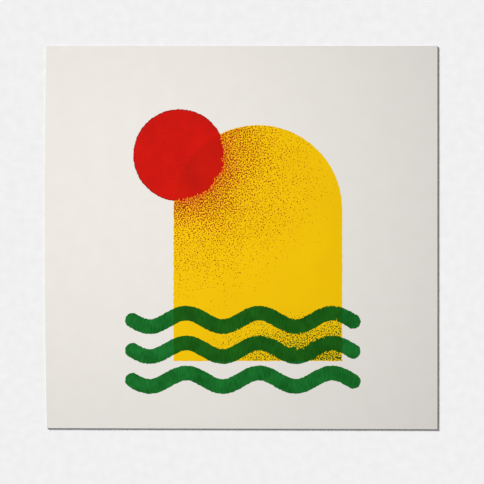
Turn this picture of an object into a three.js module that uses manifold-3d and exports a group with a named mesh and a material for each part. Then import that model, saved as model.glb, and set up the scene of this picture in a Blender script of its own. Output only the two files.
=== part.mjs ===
// Square art print: a heavy paper sheet that carries three inks, yellow, red and green.
// Each printed shape is a thin film of ink. The inks are printed in that order, and where a later
// film crosses the yellow one it climbs over it and is one film higher there.
// Millimetres, +Z up through the printed face, +Y towards the top of the picture, and the origin
// under the middle of the sheet.

import * as THREE from 'three';
import { mergeVertices } from 'three/addons/utils/BufferGeometryUtils.js';
import Module from 'manifold-3d';

const wasm = await Module();
wasm.setup();

// Sheet: heavy cotton printmaking paper, trimmed by hand, so two of its edges are not quite true
const sheetWidth = 210;
const sheetHeight = 205;
const sheetThickness = 0.6;
const topLeftInset = 0.8;
const bottomLeftInset = 1.2;
const bottomLeftRise = 0.6;

// Ink: one film, and the gap kept beside the yellow film where a later one climbs over it
const filmThickness = 0.04;
const climbGap = 0.3;

// Yellow arch, printed first
const arch = { centreX: 9, halfWidth: 45, bottomY: -66, topY: 60 };
const archSegments = 64;

// Red disc over the arch's left shoulder
const disc = { centreX: -33, centreY: 44, radius: 24.5 };
const discSegments = 96;

// Stippled fade of the disc where it lies on the arch, drawn coarser than the real speckle
const fade = { seed: 11, tries: 1500, depth: 17, smallest: 0.4, largest: 0.8, apart: 0.4, sides: 6 };

// Green wavy bands across the foot of the arch, listed from the top down
const wave = { startX: -58, endX: 60, halfWidth: 3.9, amplitude: 3.6, length: 39 };
const waveRows = [
  { name: 'green_wave_ink_upper', y: -44, crossesArch: true },
  { name: 'green_wave_ink_middle', y: -60, crossesArch: true },
  { name: 'green_wave_ink_lower', y: -76, crossesArch: false },
];
const waveStep = 2;
const waveEndSegments = 10;

const paper = new THREE.MeshStandardMaterial({ color: 0xe8e5e0, roughness: 0.85, metalness: 0 });
const yellowInk = new THREE.MeshStandardMaterial({ color: 0xeec003, roughness: 0.7, metalness: 0 });
const redInk = new THREE.MeshStandardMaterial({ color: 0xd01008, roughness: 0.7, metalness: 0 });
const greenInk = new THREE.MeshStandardMaterial({ color: 0x1a7020, roughness: 0.7, metalness: 0 });

// The same row of random numbers on every run, from 0 to 1
function seededRandom(seed) {
  let state = seed;
  return () => {
    state = (state + 0x6d2b79f5) | 0;
    let mixed = Math.imul(state ^ (state >>> 15), state | 1);
    mixed ^= mixed + Math.imul(mixed ^ (mixed >>> 7), mixed | 61);
    return ((mixed ^ (mixed >>> 14)) >>> 0) / 4294967296;
  };
}

function arcPoints(x, y, radius, fromAngle, toAngle, segments) {
  const points = [];
  for (let i = 0; i <= segments; i += 1) {
    const angle = fromAngle + ((toAngle - fromAngle) * i) / segments;
    points.push(new THREE.Vector2(x + radius * Math.cos(angle), y + radius * Math.sin(angle)));
  }
  return points;
}

// Outlines, each grown by the given width on every side

function archOutline(grow) {
  const half = arch.halfWidth + grow;
  const springY = arch.topY - arch.halfWidth;
  const crown = arcPoints(arch.centreX, springY, half, 0, Math.PI, archSegments);
  return new THREE.Shape([
    new THREE.Vector2(arch.centreX - half, arch.bottomY - grow),
    new THREE.Vector2(arch.centreX + half, arch.bottomY - grow),
    ...crown,
  ]);
}

function discOutline() {
  const rim = arcPoints(disc.centreX, disc.centreY, disc.radius, 0, 2 * Math.PI, discSegments);
  rim.pop();
  return new THREE.Shape(rim);
}

function waveOutline(rowY) {
  const phase = (2 * Math.PI) / wave.length;
  const centre = (x) => new THREE.Vector2(x, rowY + wave.amplitude * Math.sin(phase * x));
  const heading = (x) => Math.atan(wave.amplitude * phase * Math.cos(phase * x));
  const side = (x, sign) => {
    const across = heading(x) + (sign * Math.PI) / 2;
    const offset = new THREE.Vector2(Math.cos(across), Math.sin(across));
    return centre(x).addScaledVector(offset, wave.halfWidth);
  };
  const end = (x, fromAngle) => {
    const tip = centre(x);
    const start = heading(x) + fromAngle;
    const cap = arcPoints(tip.x, tip.y, wave.halfWidth, start, start + Math.PI, waveEndSegments);
    return cap.slice(1, -1);
  };
  const steps = Math.round((wave.endX - wave.startX) / waveStep);
  const along = Array.from({ length: steps + 1 }, (_, i) => {
    return wave.startX + ((wave.endX - wave.startX) * i) / steps;
  });
  return new THREE.Shape([
    ...along.map((x) => side(x, -1)),
    ...end(wave.endX, -Math.PI / 2),
    ...along.reverse().map((x) => side(x, 1)),
    ...end(wave.startX, Math.PI / 2),
  ]);
}

function insideArch(x, y, margin) {
  const half = arch.halfWidth - margin;
  const springY = arch.topY - arch.halfWidth;
  const across = x - arch.centreX;
  if (y < springY) {
    return Math.abs(across) < half && y > arch.bottomY + margin;
  }
  return Math.hypot(across, y - springY) < half;
}

// Specks left open in the disc, ever more of them towards its rim, and only over the arch
function addStippledFade(shape) {
  const random = seededRandom(fade.seed);
  const specks = [];
  for (let i = 0; i < fade.tries; i += 1) {
    const radius = THREE.MathUtils.lerp(fade.smallest, fade.largest, random());
    const angle = 2 * Math.PI * random();
    const reach = disc.radius * Math.sqrt(random());
    const turn = random();
    const chance = random();
    const speck = {
      x: disc.centreX + reach * Math.cos(angle),
      y: disc.centreY + reach * Math.sin(angle),
      radius,
    };
    const margin = radius + fade.apart;
    const inDisc = reach < disc.radius - margin;
    const onArch = insideArch(speck.x, speck.y, margin + climbGap);
    const wanted = chance < (1 - (disc.radius - reach) / fade.depth) ** 2;
    const clear = specks.every((other) => {
      return Math.hypot(other.x - speck.x, other.y - speck.y) > other.radius + margin;
    });
    if (reach > disc.radius - fade.depth && inDisc && onArch && wanted && clear) {
      specks.push(speck);
      const rim = arcPoints(speck.x, speck.y, radius, turn, turn + 2 * Math.PI, fade.sides);
      rim.pop();
      shape.holes.push(new THREE.Path(rim));
    }
  }
  return shape;
}

function plate(shape, depth) {
  return new THREE.ExtrudeGeometry(shape, { depth, bevelEnabled: false, curveSegments: 48 });
}

function toSolid(geometry) {
  geometry.deleteAttribute('normal');
  geometry.deleteAttribute('uv');
  const merged = mergeVertices(geometry, 1e-5);
  const vertProperties = new Float32Array(merged.attributes.position.array);
  const triVerts = new Uint32Array(merged.index.array);
  return new wasm.Manifold(new wasm.Mesh({ numProp: 3, vertProperties, triVerts }));
}

function toGeometry(solid) {
  const mesh = solid.getMesh();
  const geometry = new THREE.BufferGeometry();
  geometry.setAttribute('position', new THREE.BufferAttribute(mesh.vertProperties, 3));
  geometry.setIndex(new THREE.BufferAttribute(mesh.triVerts, 1));
  geometry.computeVertexNormals();
  return geometry;
}

// A film that lies on the paper and climbs over the arch: a plate of two films, cut down to one
// beside the arch, with room for the yellow film below
function climbingFilm(shape) {
  const twoFilms = toSolid(plate(shape, 2 * filmThickness));
  const besideOutline = new THREE.Shape([
    new THREE.Vector2(-sheetWidth, -sheetHeight),
    new THREE.Vector2(sheetWidth, -sheetHeight),
    new THREE.Vector2(sheetWidth, sheetHeight),
    new THREE.Vector2(-sheetWidth, sheetHeight),
  ]);
  besideOutline.holes.push(archOutline(climbGap + filmThickness));
  const beside = toSolid(plate(besideOutline, 2 * filmThickness).translate(0, 0, filmThickness));
  const below = toSolid(plate(archOutline(climbGap), 2 * filmThickness).translate(0, 0, -filmThickness));
  return toGeometry(twoFilms.subtract(beside).subtract(below));
}

function paperSheet() {
  const right = sheetWidth / 2;
  const top = sheetHeight / 2;
  const topLeft = new THREE.Vector2(-right + topLeftInset, top);
  const bottomLeft = new THREE.Vector2(-right + bottomLeftInset, -top + bottomLeftRise);
  const bowX = -2 * right - (topLeft.x + bottomLeft.x) / 2;
  const outline = new THREE.Shape();
  outline.moveTo(bottomLeft.x, bottomLeft.y);
  outline.lineTo(right, -top);
  outline.lineTo(right, top);
  outline.lineTo(topLeft.x, topLeft.y);
  outline.quadraticCurveTo(bowX, 0, bottomLeft.x, bottomLeft.y);
  const sheet = new THREE.Mesh(plate(outline, sheetThickness), paper);
  sheet.name = 'paper_sheet';
  return sheet;
}

function yellowArch() {
  const film = new THREE.Mesh(plate(archOutline(0), filmThickness), yellowInk);
  film.name = 'yellow_arch_ink';
  return film;
}

function redDisc() {
  const film = new THREE.Mesh(climbingFilm(addStippledFade(discOutline())), redInk);
  film.name = 'red_disc_ink';
  return film;
}

function greenWave(row) {
  const outline = waveOutline(row.y);
  const geometry = row.crossesArch ? climbingFilm(outline) : plate(outline, filmThickness);
  const film = new THREE.Mesh(geometry, greenInk);
  film.name = row.name;
  return film;
}

const printedFace = new THREE.Group();
printedFace.position.z = sheetThickness;
printedFace.add(yellowArch(), redDisc(), ...waveRows.map(greenWave));

const artPrint = new THREE.Group();
artPrint.add(paperSheet(), printedFace);

export default artPrint;
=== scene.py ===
import math

import bpy
import numpy as np
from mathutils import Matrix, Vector
from mathutils.geometry import delaunay_2d_cdt


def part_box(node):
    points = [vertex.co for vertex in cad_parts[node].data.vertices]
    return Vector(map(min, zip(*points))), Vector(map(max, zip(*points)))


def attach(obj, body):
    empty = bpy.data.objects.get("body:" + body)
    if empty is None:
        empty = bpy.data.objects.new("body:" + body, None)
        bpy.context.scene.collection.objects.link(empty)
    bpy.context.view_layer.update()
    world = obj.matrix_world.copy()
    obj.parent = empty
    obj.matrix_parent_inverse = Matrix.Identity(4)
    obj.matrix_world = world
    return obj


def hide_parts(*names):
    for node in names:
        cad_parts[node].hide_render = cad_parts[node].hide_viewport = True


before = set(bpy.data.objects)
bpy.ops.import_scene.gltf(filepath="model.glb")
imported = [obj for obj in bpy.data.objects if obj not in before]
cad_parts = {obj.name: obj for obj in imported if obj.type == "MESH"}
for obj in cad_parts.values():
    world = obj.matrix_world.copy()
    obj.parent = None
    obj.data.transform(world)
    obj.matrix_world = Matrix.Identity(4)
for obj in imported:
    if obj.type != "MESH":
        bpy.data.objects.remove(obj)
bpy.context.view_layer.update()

mm = 0.001


# Camera: it looks straight down at the sheet, as the photograph does, through a long lens that keeps
# the sheet's edges straight. The sheet sits a little above the middle of the picture.

picture_pixels = 484
sheet_pixels = 393
aim_right_pixels = 1.0
aim_down_pixels = 4.5
lens_mm = 85
sensor_mm = 36

sheet_low, sheet_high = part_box("paper_sheet")
paper_top = sheet_high.z
sheet_middle = (sheet_low + sheet_high) / 2
pixel = (sheet_high.x - sheet_low.x) / sheet_pixels

camera_data = bpy.data.cameras.new("camera")
camera_data.lens = lens_mm
camera_data.sensor_width = sensor_mm
camera = bpy.data.objects.new("camera", camera_data)
camera.location = (
    sheet_middle.x + aim_right_pixels * pixel,
    sheet_middle.y - aim_down_pixels * pixel,
    paper_top + picture_pixels * pixel * lens_mm / sensor_mm,
)
bpy.context.collection.objects.link(camera)
bpy.context.scene.camera = camera
bpy.context.scene.view_settings.view_transform = "Standard"


# Light: a soft lamp hangs close over the sheet's left side, so the paper darkens towards its lower
# right corner. The table has its own light, low daylight from the upper left, which lights it evenly
# and throws the sheet's narrow shadow to the right and below. A dim room fills in the rest.

warm_white = (1.0, 0.985, 0.965)
room_tint = (0.99, 0.985, 0.975, 1)
room_strength = 0.2
room_seen = 0.9
lamp_distance = 0.47
lamp_size = 0.2


def light(name, kind, elevation, heading, strength):
    """A light aimed at the sheet, which lights only what is in the collection that it gives back."""
    data = bpy.data.lights.new(name, kind)
    data.energy = strength
    data.color = warm_white
    made = bpy.data.objects.new(name, data)
    up, round_about = math.radians(elevation), math.radians(heading)
    across = Vector((math.cos(round_about), math.sin(round_about), 0)) * math.cos(up)
    made.location = lamp_distance * (across + Vector((0, 0, math.sin(up))))
    made.rotation_euler = (-made.location).to_track_quat("-Z", "Y").to_euler()
    bpy.context.collection.objects.link(made)
    lit = bpy.data.collections.new(name + "_falls_on")
    made.light_linking.receiver_collection = lit
    return data, lit


lamp, print_lit = light("hanging_lamp", "AREA", elevation=76, heading=157, strength=1.75)
lamp.shape = "DISK"
lamp.size = lamp_size
daylight, table_lit = light("daylight", "SUN", elevation=19, heading=138, strength=7.7)
daylight.angle = math.radians(12)


def node(tree, kind, links=(), **settings):
    """Adds a node. Settings name its own properties or its inputs, and links join sockets to it."""
    made = tree.nodes.new(kind)
    for name, value in settings.items():
        if hasattr(made, name):
            setattr(made, name, value)
        else:
            made.inputs[name.replace("_", " ").title()].default_value = value
    for socket, source in dict(links).items():
        tree.links.new(source, made.inputs[socket])
    return made


# The room looks as pale as the table where it is seen past the table's far edge
room = bpy.data.worlds.new("room")
room.use_nodes = True
tree = room.node_tree
seen = node(tree, "ShaderNodeLightPath").outputs["Is Camera Ray"]
pale = node(tree, "ShaderNodeMapRange", {"Value": seen}, to_min=room_strength, to_max=room_seen)
background = tree.nodes["Background"]
background.inputs["Color"].default_value = room_tint
tree.links.new(pale.outputs["Result"], background.inputs["Strength"])
bpy.context.scene.world = room


# Floor: a plain white table top, painted matt, which is a stage and no part of the print.

floor_width = 3.0
floor_light = "f7f8fb"
floor_dark = "ebecef"
mottle_width = 5 * mm


def linear(colour):
    """An sRGB hex colour as linear red, green, blue and alpha."""
    channels = [int(colour[i:i + 2], 16) / 255 for i in (0, 2, 4)]
    return [c / 12.92 if c <= 0.04045 else ((c + 0.055) / 1.055) ** 2.4 for c in channels] + [1]


def new_material(name):
    """A material with an empty node tree and an output, and its tree."""
    material = bpy.data.materials.new(name)
    material.use_nodes = True
    material.node_tree.nodes.clear()
    return material, material.node_tree


def paint_surface(tree, shader):
    """Sends a shader to the material's surface."""
    node(tree, "ShaderNodeOutputMaterial", {"Surface": shader.outputs["BSDF"]})


# Matt wall paint, put on with a roller: no sheen worth seeing, and a very faint mottle
white_paint, tree = new_material("matt_white_paint")
place = node(tree, "ShaderNodeTexCoord").outputs["Object"]
mottle = node(tree, "ShaderNodeTexNoise", {"Vector": place}, scale=1 / mottle_width, detail=2.0)
paint = node(tree, "ShaderNodeMix", {0: mottle.outputs["Fac"]}, data_type="RGBA")
paint.inputs[6].default_value = linear(floor_dark)
paint.inputs[7].default_value = linear(floor_light)
shader = node(tree, "ShaderNodeBsdfPrincipled", {"Base Color": paint.outputs[2]}, roughness=0.9)
shader.inputs["Specular IOR Level"].default_value = 0.1
paint_surface(tree, shader)

half = floor_width / 2
floor_mesh = bpy.data.meshes.new("floor")
corners = [(-half, -half, 0), (half, -half, 0), (half, half, 0), (-half, half, 0)]
floor_mesh.from_pydata(corners, [], [(0, 1, 2, 3)])
floor_mesh.materials.append(white_paint)
floor = bpy.data.objects.new("floor", floor_mesh)
bpy.context.collection.objects.link(floor)
table_lit.objects.link(floor)


# Paper sheet: heavy, uncoated cotton paper, cast on a felt that leaves its tooth in both faces, and
# trimmed with a knife. The blade presses the top edge down a little and leaves the cut faintly uneven.

edge_step = 1.2 * mm
face_step = 5 * mm
knife_wander = 0.05 * mm
pressed_width = 0.12 * mm
pressed_depth = 0.05 * mm
paper_warm = "f1eeea"
paper_cool = "ece9e4"
cloud_width = 9 * mm
tooth_width = 0.55 * mm
tooth_depth = 0.05 * mm

# Uncoated paper: scatters light evenly, so it is very rough. Its pulp lies in faint clouds, and the
# felt's tooth is drawn a little coarser than life so that it shows.
cotton_paper, tree = new_material("uncoated_cotton_paper")
place = node(tree, "ShaderNodeTexCoord").outputs["Object"]
clouds = node(tree, "ShaderNodeTexNoise", {"Vector": place}, scale=1 / cloud_width, detail=3.0)
pulp = node(tree, "ShaderNodeMix", {0: clouds.outputs["Fac"]}, data_type="RGBA")
pulp.inputs[6].default_value = linear(paper_cool)
pulp.inputs[7].default_value = linear(paper_warm)
tooth = node(tree, "ShaderNodeTexNoise", {"Vector": place}, scale=1 / tooth_width, detail=2.0)
felt = node(
    tree, "ShaderNodeBump", {"Height": tooth.outputs["Fac"]}, strength=0.35, distance=tooth_depth
)
shader = node(
    tree,
    "ShaderNodeBsdfPrincipled",
    {"Base Color": pulp.outputs[2], "Normal": felt.outputs["Normal"]},
    roughness=0.9,
)
shader.inputs["Specular IOR Level"].default_value = 0.3
paint_surface(tree, shader)


def trimmed_outline():
    """The sheet's outline from its solid, in steps of about edge_step, in order round the middle."""
    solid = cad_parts["paper_sheet"].data
    rim = [v.co.to_2d() for v in solid.vertices if v.co.z > paper_top / 2]
    rim.sort(key=lambda p: math.atan2(p.y - sheet_middle.y, p.x - sheet_middle.x))
    outline = []
    for here, there in zip(rim, rim[1:] + rim[:1]):
        steps = max(1, round((there - here).length / edge_step))
        outline += [here.lerp(there, i / steps) for i in range(steps)]
    return outline


def inset(outline, depths):
    """The outline drawn in by its own depth at each point."""
    drawn = []
    for i, point in enumerate(outline):
        run = outline[(i + 1) % len(outline)] - outline[i - 1]
        inward = Vector((-run.y, run.x)).normalized()
        drawn.append(point + inward * depths[i])
    return drawn


def fill(points, pairs, inner):
    """Triangles that fill an outline given by points and the pairs of them to join. The inner points
    keep the triangles compact."""
    filled = delaunay_2d_cdt([*points, *inner], pairs, [], 2, 1e-6)
    return [tuple(p) for p in filled[0]], [list(t) for t in filled[2]]


outline = trimmed_outline()
wander = np.random.default_rng(2).random(len(outline)) * knife_wander
wander = (wander + np.roll(wander, 1) + np.roll(wander, -1)) / 3
rings = [
    (pressed_width + wander, paper_top),
    (wander, paper_top - pressed_depth),
    (wander, pressed_depth / 2),
    (pressed_width / 2 + wander, 0),
]
points = [(*p, z) for depths, z in rings for p in inset(outline, depths)]
count = len(outline)
faces = []
for ring in range(len(rings) - 1):
    for i in range(count):
        j = (i + 1) % count
        upper, lower = ring * count, (ring + 1) * count
        faces.append([upper + j, upper + i, lower + i, lower + j])
inner = [
    (x, y)
    for x in np.arange(sheet_low.x + face_step, sheet_high.x - face_step / 2, face_step)
    for y in np.arange(sheet_low.y + face_step, sheet_high.y - face_step / 2, face_step)
]
for first, z in ((0, paper_top), (3 * count, 0)):
    rim = [points[first + i][:2] for i in range(count)]
    flat, triangles = fill(rim, [(i, (i + 1) % count) for i in range(count)], inner)
    turned = 1 if z else -1
    faces += [[len(points) + v for v in triangle[::turned]] for triangle in triangles]
    points += [(x, y, z) for x, y in flat]
sheet_mesh = bpy.data.meshes.new("cut_paper_sheet")
sheet_mesh.from_pydata(points, [], faces)
sheet_mesh.materials.append(cotton_paper)
sheet = bpy.data.objects.new("cut_paper_sheet", sheet_mesh)
bpy.context.collection.objects.link(sheet)
print_lit.objects.link(sheet)
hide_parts("paper_sheet")
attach(sheet, "root")


# Inks: each is squeegeed through a stencil, so it lies as a thin even film with a slightly ragged
# edge. The stencils are drawn as fields over a fine grid, in millimetres, and a film is the part of
# its field above zero. The shapes' places and sizes come from the solids of the same films.

cell = 0.15
film_step = 4
grid_margin = 2
edge_wander = 0.3
edge_grain = 0.9
feather = 0.05
ink_grain = 0.7

ink_names = [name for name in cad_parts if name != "paper_sheet"]
ink_boxes = {name: [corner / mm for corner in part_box(name)] for name in ink_names}
lowest_x = min(low.x for low, high in ink_boxes.values()) - grid_margin
highest_x = max(high.x for low, high in ink_boxes.values()) + grid_margin
lowest_y = min(low.y for low, high in ink_boxes.values()) - grid_margin
highest_y = max(high.y for low, high in ink_boxes.values()) + grid_margin
columns = np.arange(lowest_x, highest_x, cell)
rows = np.arange(lowest_y, highest_y, cell)
grid_x, grid_y = np.meshgrid(columns, rows)
yellow_low, yellow_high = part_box("yellow_arch_ink")
film = yellow_high.z - yellow_low.z
one_film = paper_top + film
two_films = paper_top + 2 * film


def blurred(field, width):
    """The field with its detail finer than about so many millimetres smoothed away."""
    spread = width / 3 / cell
    shifts = range(-math.ceil(3 * spread), math.ceil(3 * spread) + 1)
    shares = [math.exp(-0.5 * (shift / spread) ** 2) for shift in shifts]
    for axis in (0, 1):
        moved = (np.roll(field, shift, axis) for shift in shifts)
        field = sum(share / sum(shares) * part for share, part in zip(shares, moved))
    return field


def speckle(width, seed, dotted=False):
    """A seeded random field of soft blobs about so many millimetres wide, whose values are spread
    evenly from 0 to 1. A dotted one keeps its blobs apart and alike, as the dabs of a stipple are."""
    noise = np.random.default_rng(seed).random(grid_x.shape)
    field = blurred(noise, width)
    if dotted:
        field -= blurred(field, 1.7 * width)
    ranks = np.empty(field.size)
    ranks[field.ravel().argsort()] = np.linspace(0, 1, field.size)
    return ranks.reshape(field.shape)


def ramp(value, start, end):
    """Rises smoothly from 0 at start to 1 at end."""
    t = np.clip((value - start) / (end - start), 0, 1)
    return t * t * (3 - 2 * t)


def ragged(depth, seed):
    """A shape's field with its edge moved in and out a little, as ink spreads into the paper's tooth."""
    return depth + (speckle(edge_grain, seed) - 0.5) * edge_wander


def contour(field):
    """Where the field crosses zero: points on the grid's lines, and the pairs of points to join.
    Points stay a little way off the grid's corners, so that no two of them meet."""
    inked = field > 0
    across = inked[:, :-1] != inked[:, 1:]
    along = inked[:-1] != inked[1:]
    across_ids = np.full(across.shape, -1)
    across_ids[across] = np.arange(across.sum())
    along_ids = np.full(along.shape, -1)
    along_ids[along] = across.sum() + np.arange(along.sum())

    near, far = field[:, :-1][across], field[:, 1:][across]
    share = np.clip(near / (near - far), 0.1, 0.9)
    across_points = np.stack([grid_x[:, :-1][across] + share * cell, grid_y[:, :-1][across]], 1)
    near, far = field[:-1][along], field[1:][along]
    share = np.clip(near / (near - far), 0.1, 0.9)
    along_points = np.stack([grid_x[:-1][along], grid_y[:-1][along] + share * cell], 1)

    sides = np.stack([across_ids[:-1], along_ids[:, 1:], across_ids[1:], along_ids[:, :-1]], -1)
    crossings = (sides >= 0).sum(-1)
    pairs = [np.sort(sides[crossings == 2], 1)[:, 2:]]
    centre = (field[:-1, :-1] + field[:-1, 1:] + field[1:, :-1] + field[1:, 1:]) > 0
    saddle = crossings == 4
    corner_joined = saddle & (inked[:-1, :-1] == centre)
    corner_cut = saddle & ~corner_joined
    pairs += [sides[corner_joined][:, :2], sides[corner_joined][:, 2:]]
    pairs += [sides[corner_cut][:, [0, 3]], sides[corner_cut][:, 1:3]]
    return np.concatenate([across_points, along_points]), np.concatenate(pairs)


def coat(field, top, base):
    """The film of one field: its top face, and the thin sloping edge that runs down to base."""
    points, pairs = contour(field)
    skip = round(film_step / cell)
    deep = field[::skip, ::skip] > 4 * cell
    inner = np.stack([grid_x[::skip, ::skip][deep], grid_y[::skip, ::skip][deep]], 1)
    flat, triangles = map(np.array, fill(points.tolist(), pairs.tolist(), inner.tolist()))
    starts = triangles.ravel()
    ends = np.roll(triangles, -1, 1).ravel()
    rim = ~np.isin(starts * len(flat) + ends, ends * len(flat) + starts)
    starts, ends = starts[rim], ends[rim]
    run = flat[ends] - flat[starts]
    outward = np.zeros_like(flat)
    np.add.at(outward, starts, np.stack([run[:, 1], -run[:, 0]], 1))
    np.add.at(outward, ends, np.stack([run[:, 1], -run[:, 0]], 1))
    length = np.maximum(np.linalg.norm(outward, axis=1, keepdims=True), 1e-9)
    foot = flat + outward / length * feather
    corners = [(x * mm, y * mm, top) for x, y in flat] + [(x * mm, y * mm, base) for x, y in foot]
    drop = len(flat)
    edge = np.stack([starts + drop, ends + drop, ends, starts], 1)
    return corners, triangles.tolist() + edge.tolist()


def printed_piece(name, coats, replaced):
    """One mesh of several coats of ink. Each coat is a field, its top, its base and its material.
    The mesh is unwrapped as it is seen from above."""
    corners, faces, slots = [], [], []
    for index, (field, top, base, material) in enumerate(coats):
        coat_corners, coat_faces = coat(field, top, base)
        faces += [[v + len(corners) for v in face] for face in coat_faces]
        corners += coat_corners
        slots += [index] * len(coat_faces)
    mesh = bpy.data.meshes.new(name)
    mesh.from_pydata(corners, [], faces)
    mesh.validate()
    for *_, material in coats:
        mesh.materials.append(material)
    mesh.polygons.foreach_set("material_index", slots)
    spots = np.array([corners[loop.vertex_index][:2] for loop in mesh.loops])
    spots = (spots - spots.min(0)) / (spots.max(0) - spots.min(0)).max()
    mesh.uv_layers.new(name="OFBake").data.foreach_set("uv", spots.ravel())
    piece = bpy.data.objects.new(name, mesh)
    bpy.context.collection.objects.link(piece)
    print_lit.objects.link(piece)
    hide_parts(*replaced)
    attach(piece, "root")


def ink_material(name, pale, deep, cloud, streak=1.0):
    """Water-based screen ink, dried matt: it soaks into the tooth, so its depth of colour varies in
    soft clouds and fine grains, and it keeps the paper's relief under a faint sheen. The cloud is
    given in millimetres, and the streak by how many times longer the grains are up the sheet."""
    material, tree = new_material(name)
    place = node(tree, "ShaderNodeTexCoord").outputs["Object"]
    stretched = node(tree, "ShaderNodeMapping", {"Vector": place})
    stretched.inputs["Scale"].default_value = (1, 1 / streak, 1)
    soft = node(tree, "ShaderNodeTexNoise", {"Vector": place}, scale=1 / (cloud * mm), detail=3.0)
    fine = node(
        tree,
        "ShaderNodeTexNoise",
        {"Vector": stretched.outputs["Vector"]},
        scale=1 / (ink_grain * mm),
        detail=2.0,
    )
    both = node(
        tree, "ShaderNodeMath", {0: soft.outputs["Fac"], 1: fine.outputs["Fac"]}, operation="ADD"
    )
    spread = node(
        tree, "ShaderNodeMapRange", {"Value": both.outputs["Value"]}, from_min=0.75, from_max=1.25
    )
    tone = node(tree, "ShaderNodeMix", {0: spread.outputs["Result"]}, data_type="RGBA")
    tone.inputs[6].default_value = linear(deep)
    tone.inputs[7].default_value = linear(pale)
    tooth = node(tree, "ShaderNodeTexNoise", {"Vector": place}, scale=1 / tooth_width, detail=2.0)
    relief = node(
        tree, "ShaderNodeBump", {"Height": tooth.outputs["Fac"]}, strength=0.25, distance=tooth_depth
    )
    shader = node(
        tree,
        "ShaderNodeBsdfPrincipled",
        {"Base Color": tone.outputs[2], "Normal": relief.outputs["Normal"]},
        roughness=0.7,
    )
    shader.inputs["Specular IOR Level"].default_value = 0.06
    paint_surface(tree, shader)
    return material


# Yellow arch: the first ink, a round-headed block that the other two overlap. It is the palest ink,
# so it shows its clouds least.

arch_low, arch_high = ink_boxes["yellow_arch_ink"]
arch_x = (arch_low.x + arch_high.x) / 2
arch_half = (arch_high.x - arch_low.x) / 2
arch_spring = arch_high.y - arch_half

beside = arch_half - np.abs(grid_x - arch_x)
arch_depth = np.where(
    grid_y < arch_spring,
    np.minimum(beside, grid_y - arch_low.y),
    arch_half - np.hypot(grid_x - arch_x, grid_y - arch_spring),
)
arch_depth = ragged(arch_depth, 21)
yellow_ink = ink_material("yellow_screen_ink", "fccd00", "f6c500", 26)
printed_piece(
    "printed_yellow_arch",
    [(arch_depth, one_film, paper_top, yellow_ink)],
    ["yellow_arch_ink"],
)


# Red disc: the second ink. Over the arch its rim is torn and open, and a spray of specks carries it
# on across the yellow, thinning out as it goes, with a thin orange veil between the nearest ones. Off
# the arch it is a plain disc, whose rim is a thin darker line where the stencil held more ink.
# Specks and dabs are drawn about 0.6 mm wide, a little coarser than life, so that they show.

disc_low, disc_high = ink_boxes["red_disc_ink"]
disc_x = (disc_low.x + disc_high.x) / 2
disc_y = (disc_low.y + disc_high.y) / 2
disc_radius = (disc_high.x - disc_low.x) / 2
speck_width = 0.62
speck_slope = 2
clear_of_edge = 0.3
torn_patch = 4
torn_width = 2.6
hole_density = 0.5
hole_reach = 2.2
closed_margin = 0.004
spray_reach = 26
spray_density = 0.4
spray_least = 0.012
spray_drift = 16
veil_reach = 5
veil_density = 0.6
rim_width = 0.35
rim_ridge = 0.3 * film


def dabs(density, specks):
    """A stipple of separate dabs over the arch, clear of its edge, as dense as given from 0 to 1. The
    slope turns the specks' values to about millimetres."""
    return np.minimum((density - specks) * speck_slope, arch_depth - clear_of_edge)


from_rim = np.hypot(grid_x - disc_x, grid_y - disc_y) - disc_radius
outside = np.clip(from_rim, 0, None)
inside = np.clip(-from_rim, 0, None)
on_arch = ramp(arch_depth, 0, 2)
torn = (speckle(torn_patch, 31) - 0.5) * torn_width * on_arch
disc_depth = ragged(-from_rim, 32) + torn
specks = speckle(speck_width, 33, dotted=True)
holes = hole_density * np.exp(-inside / hole_reach) * on_arch
closed = 1 - holes - specks + closed_margin
open_disc = np.minimum(disc_depth, closed * speck_slope)
drift = 0.8 + 0.4 * speckle(spray_drift, 34)
spray = spray_density * np.exp(-((outside / spray_reach) ** 1.4)) * drift
sprayed = np.minimum(dabs(spray - spray_least, specks), -open_disc)
veil = veil_density * np.exp(-outside / veil_reach)
veiled = dabs(veil, speckle(speck_width, 35, dotted=True))
veiled = np.minimum(veiled, -np.maximum(open_disc, sprayed))
plain_disc = np.minimum(open_disc, -arch_depth)

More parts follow.
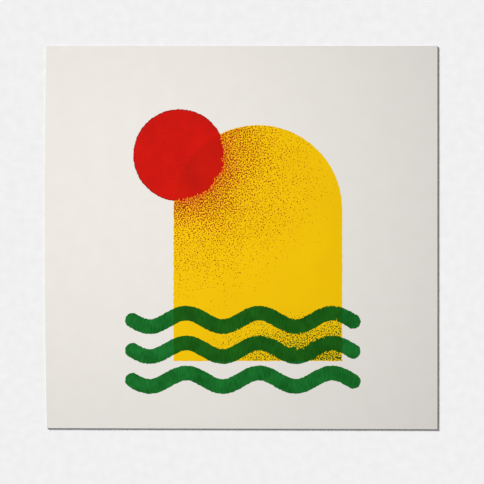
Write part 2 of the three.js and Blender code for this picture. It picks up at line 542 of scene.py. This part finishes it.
# The coats that meet end at slightly different heights, so that no two faces share a plane
red_ink = ink_material("red_screen_ink", "da1406", "c30f08", 14)
red_rim = ink_material("red_ink_rim", "a50f0c", "8d0c0b", 14)
red_over_yellow = ink_material("red_ink_over_yellow", "d31505", "b81005", 14)
red_specks = ink_material("red_specks_over_yellow", "b8340a", "98240a", 14)
red_veil = ink_material("thin_red_over_yellow", "f28a1c", "ea7a16", 14)
printed_piece(
    "printed_red_disc",
    [
        (np.minimum(plain_disc, disc_depth - rim_width), one_film, paper_top, red_ink),
        (np.minimum(plain_disc, rim_width - disc_depth), one_film + rim_ridge, paper_top, red_rim),
        (np.minimum(open_disc, arch_depth), two_films, one_film, red_over_yellow),
        (sprayed, two_films - 0.2 * film, one_film, red_specks),
        (veiled, two_films - 0.4 * film, one_film, red_veil),
    ],
    ["red_disc_ink"],
)


# Green waves: the last ink, three wavy bands across the arch's foot, darker where they lie on the
# yellow. A spray of green specks shades the foot of the arch between them, towards the right.

# The bands' half width and wave length are those of the solids
wave_half = 3.9
wave_length = 39
wave_samples = 240
shade_density = 0.5
shade_least = 0.01
shade_drift = 12
pinholes = 0.16
wave_closed_margin = 0.002

wave_depth = np.full(grid_x.shape, -99.0)
for name in ("green_wave_ink_upper", "green_wave_ink_middle", "green_wave_ink_lower"):
    low, high = ink_boxes[name]
    middle = (low.y + high.y) / 2
    amplitude = (high.y - low.y) / 2 - wave_half
    near = np.abs(rows - middle) < amplitude + wave_half + 1
    nearest = np.full(grid_x[near].shape, 99.0)
    for x in np.linspace(low.x + wave_half, high.x - wave_half, wave_samples):
        y = middle + amplitude * math.sin(2 * math.pi * x / wave_length)
        nearest = np.minimum(nearest, np.hypot(grid_x[near] - x, grid_y[near] - y))
    wave_depth[near] = np.maximum(wave_depth[near], wave_half - nearest)
wave_depth = ragged(wave_depth, 41)
shade = ramp(grid_y, -36, -64) * ramp(grid_x, -26, 50)
drift = 0.8 + 0.4 * speckle(shade_drift, 44)
specks = speckle(speck_width, 43, dotted=True)
sprayed = dabs(shade_density * shade * drift - shade_least, specks)
holes = pinholes * ramp(arch_depth, 0, 3) * ramp(grid_x, -30, 30)
specks = speckle(speck_width, 45, dotted=True)
closed = 1 - holes - specks + wave_closed_margin
open_wave = np.minimum(wave_depth, closed * speck_slope)
green = np.maximum(open_wave, sprayed)
green_ink = ink_material("green_screen_ink", "1c7a30", "0b5c1b", 9, streak=6)
green_over_yellow = ink_material("green_ink_over_yellow", "1c6614", "11500c", 9, streak=6)
printed_piece(
    "printed_green_waves",
    [
        (np.minimum(green, -arch_depth), one_film, paper_top, green_ink),
        (np.minimum(green, arch_depth), two_films, one_film, green_over_yellow),
    ],
    ["green_wave_ink_upper", "green_wave_ink_middle", "green_wave_ink_lower"],
)
